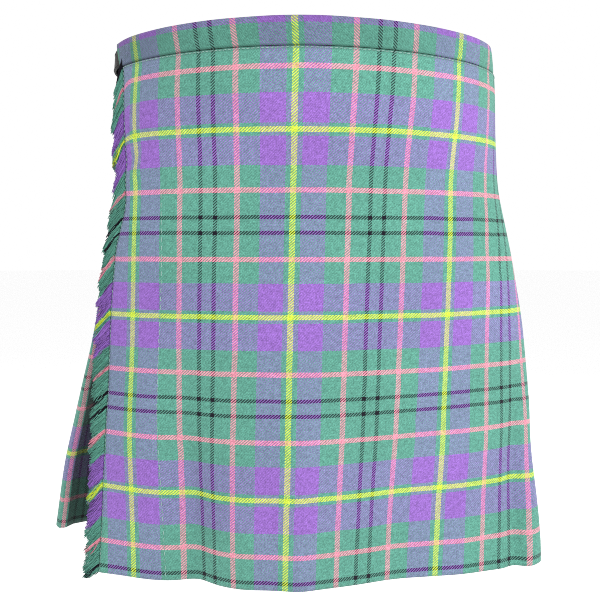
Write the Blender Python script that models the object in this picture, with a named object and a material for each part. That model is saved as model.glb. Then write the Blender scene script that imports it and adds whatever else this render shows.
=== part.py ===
"""A Scottish kilt, worn and fastened, with nobody in it.

Metres, +Z up, the front toward -Y, the wearer's left toward +X.  The origin is the middle of the
waist, half way up the waistband.  The cloth is wound once and a half round the body: the fringed over
apron crosses the front from the wearer's left hip, the under apron lies beneath it, and knife pleats
go round the back from the left hip to the right hip.
"""
from dataclasses import dataclass

import bmesh
import bpy
import numpy as np
from mathutils import Vector

# ---------------------------------------------------------------- driving sizes
BAND_HEIGHT = 0.027                 # the waistband strip
KILT_LENGTH = 0.579                 # from the top of the waistband to the hem
TOP = BAND_HEIGHT / 2
HEM = TOP - KILT_LENGTH
SEAM_GAP = 0.0005                   # air between pieces that are sewn edge to edge
CLOTH_TOP = -BAND_HEIGHT / 2 - SEAM_GAP
CLOTH = 0.0016                      # tartan wool
BAND_THICKNESS = 0.0020             # the band is folded tartan
STRAP_THICKNESS = 0.0020

# Outer faces of the layers, measured inward from the over apron's outer face.
BAND_OUT = 0.0008
STRAP_OUT = -0.0022                 # straps lie between the waistband's faces
UNDER_OUT = -0.0058                 # the under apron
PLEAT_OUT = -0.0070                 # the pleats' fold edges

PLEAT_COUNT = 20
PLEAT_OVERLAP = 0.006               # each pleat's edge lies this far over the next one
PLEAT_GAP = 0.0008                  # air between a pleat's face and its return
FELL = -0.17                        # pleats are stitched down above this height
FELL_LIFT = 0.0064                  # how far a pleat's edge stands out while stitched down
HEM_LIFT = 0.013                    # and at the hem
PLEAT_SWING = 0.010                 # how far a pleat's return hangs away from its face at the hem
HIP_SWING = 0.004                   # the same on the right hip pleat
HIP_BULGE = 0.012                   # how far its face rounds out at the hem

FRINGE_THICKNESS = 0.0020
FRINGE_FLARE = 0.003                # how far the threads stand off at their ends
STRAP_WIDTH = 0.020
BUCKLE_LENGTH = 0.024               # along the strap
BUCKLE_WIDTH = 0.0262               # across the strap
WIRE_RADIUS = 0.0013
FRAME_OUT = 0.0038                  # the buckle wire's middle, beyond the over apron's outer face
PRONG_LENGTH = 0.0195
KEEPER_THICKNESS = 0.0012


@dataclass(frozen=True)
class Section:
    """The outline of the worn kilt at one height; left and right are the wearer's."""

    height: float
    left: float          # half width of the front
    right: float
    depth: float         # how far the front reaches forward
    left_power: float    # 2 is an ellipse, 1 a straight flank
    right_power: float
    seat_left: float     # half width of the back
    seat_right: float
    seat_centre: float   # where the back is widest
    seat_depth: float


SECTIONS = (
    Section(0.0135, 0.212, 0.205, 0.148, 1.75, 1.80, 0.205, 0.205, 0.015, 0.105),
    Section(-0.0265, 0.215, 0.208, 0.147, 1.77, 1.85, 0.208, 0.207, 0.018, 0.110),
    Section(-0.0765, 0.216, 0.208, 0.136, 1.83, 2.15, 0.209, 0.208, 0.022, 0.118),
    Section(-0.1365, 0.220, 0.208, 0.125, 1.75, 2.35, 0.212, 0.209, 0.026, 0.128),
    Section(-0.2065, 0.237, 0.220, 0.122, 1.65, 2.25, 0.226, 0.224, 0.036, 0.140),
    Section(-0.2865, 0.252, 0.238, 0.122, 1.50, 2.00, 0.245, 0.247, 0.060, 0.150),
    Section(-0.3765, 0.262, 0.260, 0.112, 1.25, 1.70, 0.268, 0.278, 0.090, 0.156),
    Section(-0.4765, 0.265, 0.272, 0.094, 1.05, 1.35, 0.287, 0.307, 0.110, 0.166),
    Section(HEM, 0.265, 0.286, 0.072, 0.95, 1.10, 0.305, 0.327, 0.140, 0.172),
)


@dataclass(frozen=True)
class Line:
    """A line down the cloth: how far round from the centre front it lies at each height."""

    heights: tuple
    places: tuple

    def at(self, height):
        """Return the distance round the body, in metres, at a height."""
        return float(np.interp(-height, [-h for h in self.heights], self.places))


# Distances round the body from the centre front, positive to the wearer's left.
APRON_LEFT = Line((TOP, HEM), (0.294, 0.299))
APRON_RIGHT = Line((TOP, -0.05, -0.10, -0.16, -0.20, -0.25, -0.35, -0.45, HEM),
                   (-0.214, -0.203, -0.194, -0.191, -0.206, -0.210, -0.214, -0.226, -0.235))
FRINGE_EDGE = Line((TOP, -0.05, -0.105, -0.125, -0.16, -0.20, -0.30, -0.40, HEM),
                   (-0.214, -0.226, -0.222, -0.210, -0.220, -0.230, -0.243, -0.252, -0.263))
UNDER_LEFT = Line((TOP, HEM), (0.225, 0.215))
UNDER_RIGHT = Line((TOP, -0.17, -0.29, -0.43, HEM), (-0.200, -0.205, -0.245, -0.330, -0.410))
PLEATS_LEFT = Line((TOP, HEM), (0.262, 0.262))
PLEATS_RIGHT = Line((TOP, -0.17, -0.29, -0.41, HEM), (-0.230, -0.240, -0.290, -0.375, -0.425))


@dataclass(frozen=True)
class Fold:
    """A soft fold that runs down the cloth; a negative depth is a trough."""

    place: float
    half_width: float
    depth: float
    starts: float
    full: float
    drift: float = 0.0    # how far it wanders round the body by the hem


FOLDS = (
    Fold(-0.112, 0.020, -0.011, -0.26, -0.50, 0.004),
    Fold(-0.150, 0.028, 0.005, -0.24, -0.46, -0.010),
    Fold(-0.062, 0.026, 0.005, -0.30, -0.52),
    Fold(0.100, 0.034, -0.004, -0.30, -0.52, 0.008),
    Fold(0.256, 0.012, -0.006, -0.30, -0.46),
    Fold(0.190, 0.030, 0.003, -0.28, -0.48),
    Fold(0.294, 0.018, 0.012, -0.40, -0.56),
)


def smooth(value, start, end):
    """Ease from 0 at start to 1 at end."""
    fraction = np.clip((value - start) / (end - start), 0.0, 1.0)
    return fraction * fraction * (3.0 - 2.0 * fraction)


class Outline:
    """The closed outline of the body at one height, walked by its length."""

    STEPS = 96
    ROUNDING = 0.016      # how far corners of the outline are softened

    def __init__(self, height):
        self.height = height
        row = self.section(height)
        quarter = np.linspace(0.0, np.pi / 2, self.STEPS)
        sine = np.sin(quarter)
        cosine = np.cos(quarter)
        front_left = np.stack([row["left"] * sine ** (2 / row["left_power"]),
                               -row["depth"] * cosine ** (2 / row["left_power"])], 1)
        front_right = np.stack([-row["right"] * sine ** (2 / row["right_power"]),
                                -row["depth"] * cosine ** (2 / row["right_power"])], 1)
        back = np.linspace(0.0, np.pi, 2 * self.STEPS)
        half = np.where(back < np.pi / 2, row["seat_left"], row["seat_right"])
        seat = np.stack([half * np.cos(back), row["seat_centre"] + row["seat_depth"] * np.sin(back)], 1)
        loop = np.concatenate([front_left, seat, front_right[::-1]])
        self.walk(self.soften(loop))

    @staticmethod
    def section(height):
        """Return every size of the section at a height, read between the rows of the table."""
        falling = [-row.height for row in SECTIONS]
        names = Section.__dataclass_fields__
        return {name: float(np.interp(-height, falling, [getattr(row, name) for row in SECTIONS]))
                for name in names}

    def soften(self, loop):
        """Resample a closed loop evenly and round its corners."""
        count = 720
        closed = np.concatenate([loop, loop[:1]])
        length = np.concatenate([[0.0], np.cumsum(np.hypot(*np.diff(closed, axis=0).T))])
        even = np.linspace(0.0, length[-1], count, endpoint=False)
        points = np.stack([np.interp(even, length, closed[:, axis]) for axis in (0, 1)], 1)
        reach = max(1, int(self.ROUNDING / (length[-1] / count)))
        weights = np.hanning(2 * reach + 1)
        weights /= weights.sum()
        padded = np.concatenate([points[-reach:], points, points[:reach]])
        return np.stack([np.convolve(padded[:, axis], weights, mode="valid") for axis in (0, 1)], 1)

    def walk(self, points):
        """Measure the loop from its centre front, going to the wearer's left."""
        front = int(np.argmin(np.where(points[:, 1] < 0, np.abs(points[:, 0]), 9.0)))
        points = np.roll(points, -front, axis=0)
        self.points = np.concatenate([points, points[:1]])
        steps = np.hypot(*np.diff(self.points, axis=0).T)
        self.length = np.concatenate([[0.0], np.cumsum(steps)])
        self.perimeter = float(self.length[-1])

    def at(self, place, out=0.0):
        """Return the point at a distance round the body, moved out along the outline's normal."""
        place = place % self.perimeter
        step = 0.004
        here, ahead, behind = (self.read(place + shift) for shift in (0.0, step, -step))
        along = ahead - behind
        normal = np.array([along[1], -along[0]]) / np.hypot(*along)
        x, y = here + normal * out
        return (float(x), float(y), self.height)

    def read(self, place):
        """Return the bare outline point at a distance round the body."""
        place = place % self.perimeter
        return np.array([np.interp(place, self.length, self.points[:, axis]) for axis in (0, 1)])


def folds_at(place, height):
    """Return how far the soft folds move the aprons out at a place."""
    total = 0.0
    for fold in FOLDS:
        centre = fold.place + fold.drift * smooth(-height, -fold.starts, -HEM)
        bump = np.exp(-((place - centre) / fold.half_width) ** 2)
        total += fold.depth * bump * smooth(-height, -fold.starts, -fold.full)
    return float(total)


HEIGHTS = (CLOTH_TOP, -0.05, -0.10, -0.16, -0.22, -0.28, -0.34, -0.40, -0.46, -0.52, HEM)
PLEAT_HEIGHTS = (CLOTH_TOP, -0.08, -0.16, -0.23, -0.30, -0.38, -0.46, HEM)
OUTLINES = {}


# ---------------------------------------------------------------- materials
def material(name, colour, roughness, metallic=0.0):
    """Make a plain Principled material."""
    made = bpy.data.materials.new(name)
    made.use_nodes = True
    shader = made.node_tree.nodes["Principled BSDF"]
    shader.inputs["Base Color"].default_value = (*colour, 1.0)
    shader.inputs["Roughness"].default_value = roughness
    shader.inputs["Metallic"].default_value = metallic
    return made


def finish(mesh, name, look):
    """Close the mesh's normals, put it in the scene and give it its material."""
    bmesh.ops.recalc_face_normals(mesh, faces=mesh.faces[:])
    data = bpy.data.meshes.new(name)
    mesh.to_mesh(data)
    mesh.free()
    made = bpy.data.objects.new(name, data)
    bpy.context.scene.collection.objects.link(made)
    data.materials.append(look)
    data.shade_smooth()
    data.set_sharp_from_angle(angle=0.7)
    return made


# ---------------------------------------------------------------- shapes
def outline_at(height):
    """Return the outline at a height, made once."""
    if height not in OUTLINES:
        OUTLINES[height] = Outline(height)
    return OUTLINES[height]


def wall(name, look, columns, heights, surface, thickness):
    """Make a sheet of cloth or leather as a closed wall.

    surface(fraction, height) gives the place round the body and how far out the outer face is.
    """
    mesh = bmesh.new()
    grid = mesh.verts.layers.int.new("grid")
    rows = len(heights) - 1
    bmesh.ops.create_grid(mesh, x_segments=columns, y_segments=rows, size=1.0)
    inner = []
    for number, vert in enumerate(mesh.verts):
        fraction = round((vert.co.x + 1) / 2 * columns) / columns
        height = heights[round((1 - vert.co.y) / 2 * rows)]
        place, out = surface(fraction, height)
        vert[grid] = number
        vert.co = outline_at(height).at(place, out)
        inner.append(outline_at(height).at(place, out - thickness))
    grown = bmesh.ops.extrude_face_region(mesh, geom=mesh.faces[:])
    for item in grown["geom"]:
        if isinstance(item, bmesh.types.BMVert):
            item.co = inner[item[grid]]
    return finish(mesh, name, look)


def loft(name, look, loops):
    """Extrude a closed loop through the loops below it, one per height, into a solid."""
    mesh = bmesh.new()
    corner = mesh.verts.layers.int.new("corner")
    ring = [mesh.verts.new(point) for point in loops[0]]
    for number, vert in enumerate(ring):
        vert[corner] = number
    face = mesh.faces.new(ring)
    for number, loop in enumerate(loops[1:]):
        grown = bmesh.ops.extrude_face_region(mesh, geom=[face])["geom"]
        for item in grown:
            if isinstance(item, bmesh.types.BMVert):
                item.co = loop[item[corner]]
        if number:
            bmesh.ops.delete(mesh, geom=[face], context="FACES_ONLY")
        face = next(item for item in grown if isinstance(item, bmesh.types.BMFace))
    return finish(mesh, name, look)


def spread(low, high, count):
    """Return evenly spaced values from low to high."""
    return [low + (high - low) * step / count for step in range(count + 1)]


# ---------------------------------------------------------------- aprons, band and fringe
def over_apron(look):
    """The fringed front panel, from the wearer's left hip to the wearer's right."""
    def surface(fraction, height):
        right = APRON_RIGHT.at(height)
        place = right + fraction * (APRON_LEFT.at(height) - right)
        return place, folds_at(place, height)

    return wall("over_apron", look, 36, HEIGHTS, surface, CLOTH)


def fringe(look):
    """The reach of the loose warp threads beyond the over apron's edge."""
    def surface(fraction, height):
        start = APRON_RIGHT.at(height) - SEAM_GAP
        place = start + fraction * (FRINGE_EDGE.at(height) - start)
        return place, folds_at(place, height) + 0.0002 + FRINGE_FLARE * fraction

    return wall("fringe", look, 2, HEIGHTS, surface, FRINGE_THICKNESS)


def under_apron(look):
    """The plain panel beneath, which turns in to the deep pleat at the wearer's right."""
    def surface(fraction, height):
        right = UNDER_RIGHT.at(height)
        place = right + fraction * (UNDER_LEFT.at(height) - right)
        hang = 0.010 * smooth(-height, 0.20, 0.45)
        valley = 0.036 * smooth(-place, 0.205, 0.300) * smooth(-height, -FELL, 0.40)
        return place, UNDER_OUT - hang - valley

    return wall("under_apron", look, 30, HEIGHTS, surface, CLOTH)


def waistbands(look):
    """The strip along the top: over the apron and round the back, and along the under apron."""
    heights = spread(TOP, -TOP, 2)

    def outer(fraction, height):
        start = APRON_RIGHT.at(TOP)
        end = outline_at(height).perimeter - 0.232
        place = start + fraction * (end - start)
        return place, BAND_OUT + (PLEAT_OUT - BAND_OUT) * smooth(place, 0.235, 0.325)

    def inner(fraction, height):
        start = UNDER_RIGHT.at(TOP) + 0.004
        return start + fraction * (UNDER_LEFT.at(TOP) - start), UNDER_OUT + 0.0002

    wall("waistband", look, 72, heights, outer, BAND_THICKNESS)
    wall("under_waistband", look, 28, heights, inner, BAND_THICKNESS)


# ---------------------------------------------------------------- pleats
@dataclass(frozen=True)
class Pleat:
    """One folded wall: its face lies outward, and its return lies folded back beneath."""

    start: float          # where its face begins, under its neighbour's edge
    edge: float           # where its fold lies
    lift: float           # how much further out the fold is than the start
    swing: float          # how far the return hangs away from the face at its inner end
    bulge: float = 0.0    # how far the face rounds out between start and edge

    def loop(self, outline):
        """Return the closed section of the wall at one height."""
        tip = PLEAT_OUT
        reach = self.edge - self.start
        spots = (0.0, 0.5, 1.0)

        def face(part):
            rounding = self.bulge * (np.sin(np.pi * part) ** 2 - part)
            return tip - self.lift * (1.0 - part) + rounding

        def back(part):
            return face(part) - CLOTH - PLEAT_GAP - self.swing * (1.0 - part)

        turned = 0.0012
        outer = [(self.start + reach * part, face(part)) for part in spots]
        fold = [(self.edge + turned, face(1.0) - CLOTH), (self.edge + turned, back(1.0))]
        under = [(self.start + reach * part, back(part) - CLOTH) for part in reversed(spots)]
        inside = [(self.start + reach * part, back(part)) for part in spots[:-1]]
        inside.append((self.edge - turned, back(1.0)))
        face_back = [(self.edge - turned, face(1.0) - CLOTH)]
        face_back += [(self.start + reach * part, face(part) - CLOTH) for part in reversed(spots[:-1])]
        return [outline.at(place, out) for place, out in outer + fold + under + inside + face_back]


def pleats(look):
    """Knife pleats from the left hip round the back; every fold points on to the next pleat."""
    def pleat_at(number, height):
        outline = outline_at(height)
        left = PLEATS_LEFT.at(height)
        right = outline.perimeter + PLEATS_RIGHT.at(height)
        pitch = (right - left - PLEAT_OVERLAP) / (PLEAT_COUNT + 1)
        start = left + number * pitch
        opened = smooth(-height, -FELL, -HEM)
        lift = FELL_LIFT + (HEM_LIFT - FELL_LIFT) * opened
        edge = start + pitch + PLEAT_OVERLAP
        if number == PLEAT_COUNT:
            return Pleat(start, edge, lift, HIP_SWING * opened, HIP_BULGE * opened)
        return Pleat(start, edge, lift, PLEAT_SWING * opened)

    for number in range(PLEAT_COUNT + 1):
        loops = [pleat_at(number, height).loop(outline_at(height)) for height in PLEAT_HEIGHTS]
        name = "right_hip_pleat" if number == PLEAT_COUNT else f"pleat_{number + 1:02d}"
        loft(name, look, loops)


# ---------------------------------------------------------------- straps and buckles
@dataclass(frozen=True)
class Closure:
    """A strap and buckle; toward is +1 where the strap runs on to the wearer's left, -1 to the right."""

    name: str
    root: float
    buckle: float
    height: float
    toward: int


CLOSURES = (
    Closure("right_waist", -0.176, -0.335, 0.0, -1),
    Closure("right_hip", -0.176, -0.335, -0.105, -1),
    Closure("left_waist", 0.333, 0.405, 0.0, 1),
)


def buckle_frame(name, look, spot, along, outward):
    """A rounded rectangular ring of steel wire, lying on the strap."""
    half_long = BUCKLE_LENGTH / 2
    half_wide = BUCKLE_WIDTH / 2
    corner = 0.004
    path = []
    for side_long, side_wide in ((1, 1), (-1, 1), (-1, -1), (1, -1)):
        clipped = [(side_long * half_long, side_wide * (half_wide - corner)),
                   (side_long * (half_long - corner), side_wide * half_wide)]
        path += clipped if side_long == side_wide else clipped[::-1]
    curve = bpy.data.curves.new(name, "CURVE")
    curve.dimensions = "3D"
    curve.bevel_depth = WIRE_RADIUS
    curve.bevel_resolution = 2
    wire = curve.splines.new("POLY")
    wire.points.add(len(path) - 1)
    for point, (ahead, up) in zip(wire.points, path):
        centre = spot + along * ahead + outward * FRAME_OUT
        point.co = (centre[0], centre[1], centre[2] + up, 1.0)
    wire.use_cyclic_u = True
    curve.materials.append(look)
    made = bpy.data.objects.new(name, curve)
    bpy.context.scene.collection.objects.link(made)


def prong(name, look, spot, along, outward):
    """The buckle's pin, which lies inside the frame."""
    mesh = bmesh.new()
    bmesh.ops.create_cone(mesh, cap_ends=True, segments=8, radius1=0.0011, radius2=0.0007, depth=PRONG_LENGTH)
    turn = Vector((0.0, 0.0, 1.0)).rotation_difference(Vector(along)).to_matrix()
    bmesh.ops.rotate(mesh, verts=mesh.verts, matrix=turn)
    bmesh.ops.translate(mesh, verts=mesh.verts, vec=Vector(spot + outward * FRAME_OUT))
    finish(mesh, name, look)


def closure_pieces(closure, leather, steel):
    """One closure: strap, chape, keeper, buckle frame and prong."""
    half = STRAP_WIDTH / 2
    heights = spread(closure.height + half, closure.height - half, 2)
    tip = closure.buckle + closure.toward * 0.045
    chape_start = closure.buckle + closure.toward * 0.004
    chape_end = closure.buckle + closure.toward * 0.062

    def strap(fraction, height):
        place = closure.root + fraction * (tip - closure.root)
        along = closure.toward * (place - closure.buckle)
        point = 0.007 * smooth(fraction, 0.9, 1.0) * abs(height - closure.height) / half
        rise = (STRAP_THICKNESS + 0.0004) * smooth(along, -0.012, 0.0)
        return place - closure.toward * point, STRAP_OUT + rise

    def chape(fraction, height):
        return chape_start + fraction * (chape_end - chape_start), STRAP_OUT

    def keeper(fraction, height):
        start = closure.buckle + closure.toward * 0.022
        return start + closure.toward * 0.008 * fraction, STRAP_OUT + 2 * STRAP_THICKNESS + 0.0004

    wall(f"{closure.name}_strap", leather, 18, heights, strap, STRAP_THICKNESS)
    wall(f"{closure.name}_chape", leather, 4, heights, chape, STRAP_THICKNESS)
    wall(f"{closure.name}_keeper", leather, 1, heights, keeper, KEEPER_THICKNESS)
    outline = outline_at(closure.height)
    spot = np.array(outline.at(closure.buckle))
    along = np.array(outline.at(closure.buckle + closure.toward * 0.004)) - spot
    along /= np.linalg.norm(along)
    outward = np.array(outline.at(closure.buckle, 0.01)) - spot
    outward /= np.linalg.norm(outward)
    buckle_frame(f"{closure.name}_buckle", steel, spot, along, outward)
    prong(f"{closure.name}_prong", steel, spot, along, outward)


# ---------------------------------------------------------------- the kilt
def main():
    """Clear the scene and build every piece."""
    for existing in list(bpy.data.objects):
        bpy.data.objects.remove(existing, do_unlink=True)
    tartan = material("tartan wool", (0.20, 0.42, 0.38), 0.9)
    threads = material("warp threads", (0.25, 0.50, 0.42), 0.95)
    leather = material("black leather", (0.02, 0.02, 0.02), 0.5)
    steel = material("steel", (0.60, 0.60, 0.58), 0.3, 1.0)
    over_apron(tartan)
    fringe(threads)
    under_apron(tartan)
    waistbands(tartan)
    pleats(tartan)
    for closure in CLOSURES:
        closure_pieces(closure, leather, steel)


if __name__ == "__main__":
    main()
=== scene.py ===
"""Looks of a worn Scottish kilt: tartan aprons, knife pleats, waistband, fringe and leather straps.

Metres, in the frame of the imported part: the front toward -Y, the wearer's left toward +X, and the
origin at the middle of the waist.  Cloth positions are told as a place, the distance round the body
from the centre front toward the wearer's left, and a height.
"""
import logging
import math
from dataclasses import dataclass, field
from enum import Enum
from typing import Callable, Sequence

import bmesh
import bpy
import numpy as np
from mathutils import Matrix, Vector


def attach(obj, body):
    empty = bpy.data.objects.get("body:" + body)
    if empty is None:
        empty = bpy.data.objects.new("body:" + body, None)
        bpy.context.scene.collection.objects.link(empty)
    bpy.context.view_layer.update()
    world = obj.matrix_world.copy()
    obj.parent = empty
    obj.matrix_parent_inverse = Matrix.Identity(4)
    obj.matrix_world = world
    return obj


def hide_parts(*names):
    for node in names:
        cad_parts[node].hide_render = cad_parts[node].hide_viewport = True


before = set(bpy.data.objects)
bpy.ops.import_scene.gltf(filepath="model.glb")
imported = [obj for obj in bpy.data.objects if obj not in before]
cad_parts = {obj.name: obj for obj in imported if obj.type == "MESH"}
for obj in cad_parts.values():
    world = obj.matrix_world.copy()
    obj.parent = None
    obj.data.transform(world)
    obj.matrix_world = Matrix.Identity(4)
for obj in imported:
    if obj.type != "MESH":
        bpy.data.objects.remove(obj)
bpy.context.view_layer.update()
LOG = logging.getLogger("kilt")

# ---------------------------------------------------------------- driving sizes
BAND_HEIGHT = 0.027        # the waistband, top to bottom
KILT_LENGTH = 0.579        # waistband top to hem
TOP = BAND_HEIGHT / 2
HEM = TOP - KILT_LENGTH
SEAM_GAP = 0.0005          # between the waistband and the cloth beneath it
CLOTH_TOP = -BAND_HEIGHT / 2 - SEAM_GAP
APRON_WALL = 0.0013
PLEAT_WALL = 0.0011
BAND_WALL = 0.0019         # the waistband's cloth is folded over
STRAP_WALL = 0.0020
BAND_OUT = 0.0008          # how far out of the body's outline the waistband's face lies, and so on
STRAP_OUT = -0.0022
UNDER_OUT = -0.0058
PLEAT_OUT = -0.0070
FELL = -0.17               # the height where the pleats' stitching ends
WARP_SETT = 0.169          # one repeat of the tartan across the cloth
WEFT_SETT = 0.1855         # one repeat down it
UNDER_SHIFT = 0.024        # how far the under apron's stripes are moved across from the over apron's
TWILL = 0.0028             # from one twill line to the next
PAINTED_FOLD_SHADE = 0.80          # how much painted shade darkens the cloth at the bottom of a deep fold


@dataclass(frozen=True)
class Section:
    """The outline of the worn kilt at one height; left and right are the wearer's."""

    height: float
    left: float
    right: float
    depth: float
    left_power: float
    right_power: float
    seat_left: float
    seat_right: float
    seat_centre: float
    seat_depth: float


SECTIONS = (
    Section(0.0135, 0.212, 0.205, 0.148, 1.75, 1.80, 0.205, 0.205, 0.015, 0.105),
    Section(-0.0265, 0.215, 0.208, 0.147, 1.77, 1.85, 0.208, 0.207, 0.018, 0.110),
    Section(-0.0765, 0.216, 0.208, 0.136, 1.83, 2.15, 0.209, 0.208, 0.022, 0.118),
    Section(-0.1365, 0.220, 0.208, 0.125, 1.75, 2.35, 0.212, 0.209, 0.026, 0.128),
    Section(-0.2065, 0.237, 0.220, 0.122, 1.65, 2.25, 0.226, 0.224, 0.036, 0.140),
    Section(-0.2865, 0.252, 0.238, 0.122, 1.50, 2.00, 0.245, 0.247, 0.060, 0.150),
    Section(-0.3765, 0.262, 0.260, 0.112, 1.25, 1.70, 0.268, 0.278, 0.090, 0.156),
    Section(-0.4765, 0.265, 0.272, 0.094, 1.05, 1.35, 0.287, 0.307, 0.110, 0.166),
    Section(HEM, 0.265, 0.286, 0.072, 0.95, 1.10, 0.305, 0.327, 0.140, 0.172),
)


CORNER_WEIGHTS = ((-2, 1), (-1, 2), (0, 3), (1, 2), (2, 1))     # steps to each side and their weights


def read_table(height: float, heights: Sequence[float], values: Sequence[float],
               reach: float = 0.012) -> float:
    """Read a table that falls from the waist to the hem, with its corners rounded.

    Args:
        height: where to read it.
        heights: the rows' heights, from the top down.
        values: the rows' values.
        reach: the step between the readings that are averaged, two to each side of the height.

    Returns:
        The value at that height.
    """
    falling = [-row for row in heights]
    slope_top = (values[1] - values[0]) / (falling[1] - falling[0])
    slope_hem = (values[-1] - values[-2]) / (falling[-1] - falling[-2])
    total = 0.0
    for step, weight in CORNER_WEIGHTS:
        spot = -height + step * reach
        value = float(np.interp(spot, falling, values))
        value += slope_top * min(0.0, spot - falling[0]) + slope_hem * max(0.0, spot - falling[-1])
        total += weight * value
    return total / sum(weight for _, weight in CORNER_WEIGHTS)


@dataclass(frozen=True)
class Line:
    """A line down the cloth: how far round from the centre front it lies at each height."""

    heights: tuple[float, ...]
    places: tuple[float, ...]
    rounding: float = 0.006

    def at(self, height: float) -> float:
        """Return the distance round the body at a height."""
        return read_table(height, self.heights, self.places, self.rounding)


APRON_LEFT = Line((TOP, HEM), (0.294, 0.299))
APRON_RIGHT = Line((TOP, -0.05, -0.10, -0.16, -0.20, -0.25, -0.35, -0.45, HEM),
                   (-0.214, -0.203, -0.194, -0.191, -0.206, -0.210, -0.214, -0.226, -0.235))
FRINGE_EDGE = Line((TOP, -0.05, -0.105, -0.125, -0.16, -0.20, -0.30, -0.40, HEM),
                   (-0.214, -0.226, -0.222, -0.210, -0.220, -0.230, -0.243, -0.252, -0.263))
FRINGE_TOP = -0.0045
BLACK_ROW = -0.0848             # the measure down the cloth of a black stripe of the weft
BLACK_FROM = -0.0165            # the threads above this height come from that stripe
UNDER_LEFT = Line((TOP, HEM), (0.225, 0.215))
UNDER_RIGHT = Line((TOP, -0.17, -0.29, -0.43, HEM), (-0.200, -0.205, -0.245, -0.330, -0.410))
PLEATS_LEFT = Line((TOP, HEM), (0.262, 0.262))
PLEATS_RIGHT = Line((TOP, -0.17, -0.29, -0.41, HEM), (-0.230, -0.240, -0.290, -0.375, -0.425))

FIRST_YELLOW = -0.0885          # the height of the first yellow stripe, where the measure down is nothing
UPRIGHT = 1.028                 # how much cloth there is to each length of height where it hangs upright
FLARE = 0.35                    # how fast that falls where the cloth slopes outward
FLARE_FROM = 0.20               # how far below the first yellow stripe the slope begins
PLAIN_EASE = 0.99               # the share of the width that the cloth's measure takes up
WAIST_EASE = 0.05               # how much more it is at the waist
HEM_EASE = 0.03                 # how much more it is at the hem
STRIPE_SHIFT = 0.0033           # how far round from the centre front the middle yellow stripe lies
STRIPE_LEAN = 0.0134            # how far it leans in the height below
LEAN_HEIGHT = 0.6


def smooth(value: float | np.ndarray, start: float, end: float) -> float | np.ndarray:
    """Ease from 0 at start to 1 at end.

    Args:
        value: the value to read.
        start: where it begins to rise.
        end: where it has risen.

    Returns:
        A share from 0 to 1.
    """
    fraction = np.clip((value - start) / (end - start), 0.0, 1.0)
    return fraction * fraction * (3.0 - 2.0 * fraction)


def ease(height: float) -> float:
    """Return the share of the width that the cloth's measure takes up; it is fuller at waist and hem."""
    waist = WAIST_EASE * float(smooth(height, -0.14, -0.03))
    return PLAIN_EASE + waist + HEM_EASE * float(smooth(-height, 0.28, 0.42))


def down_to(height: float) -> float:
    """Return how far down the cloth a height lies; the cloth slopes away from upright toward the hem."""
    depth = FIRST_YELLOW - height
    return UPRIGHT * depth - FLARE * np.maximum(0.0, depth - FLARE_FROM) ** 2


def across_cloth(places: np.ndarray, height: float) -> np.ndarray:
    """Return the measure across the front's cloth at places along one height."""
    return (places + STRIPE_SHIFT - STRIPE_LEAN * height / LEAN_HEIGHT) / ease(height)


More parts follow.
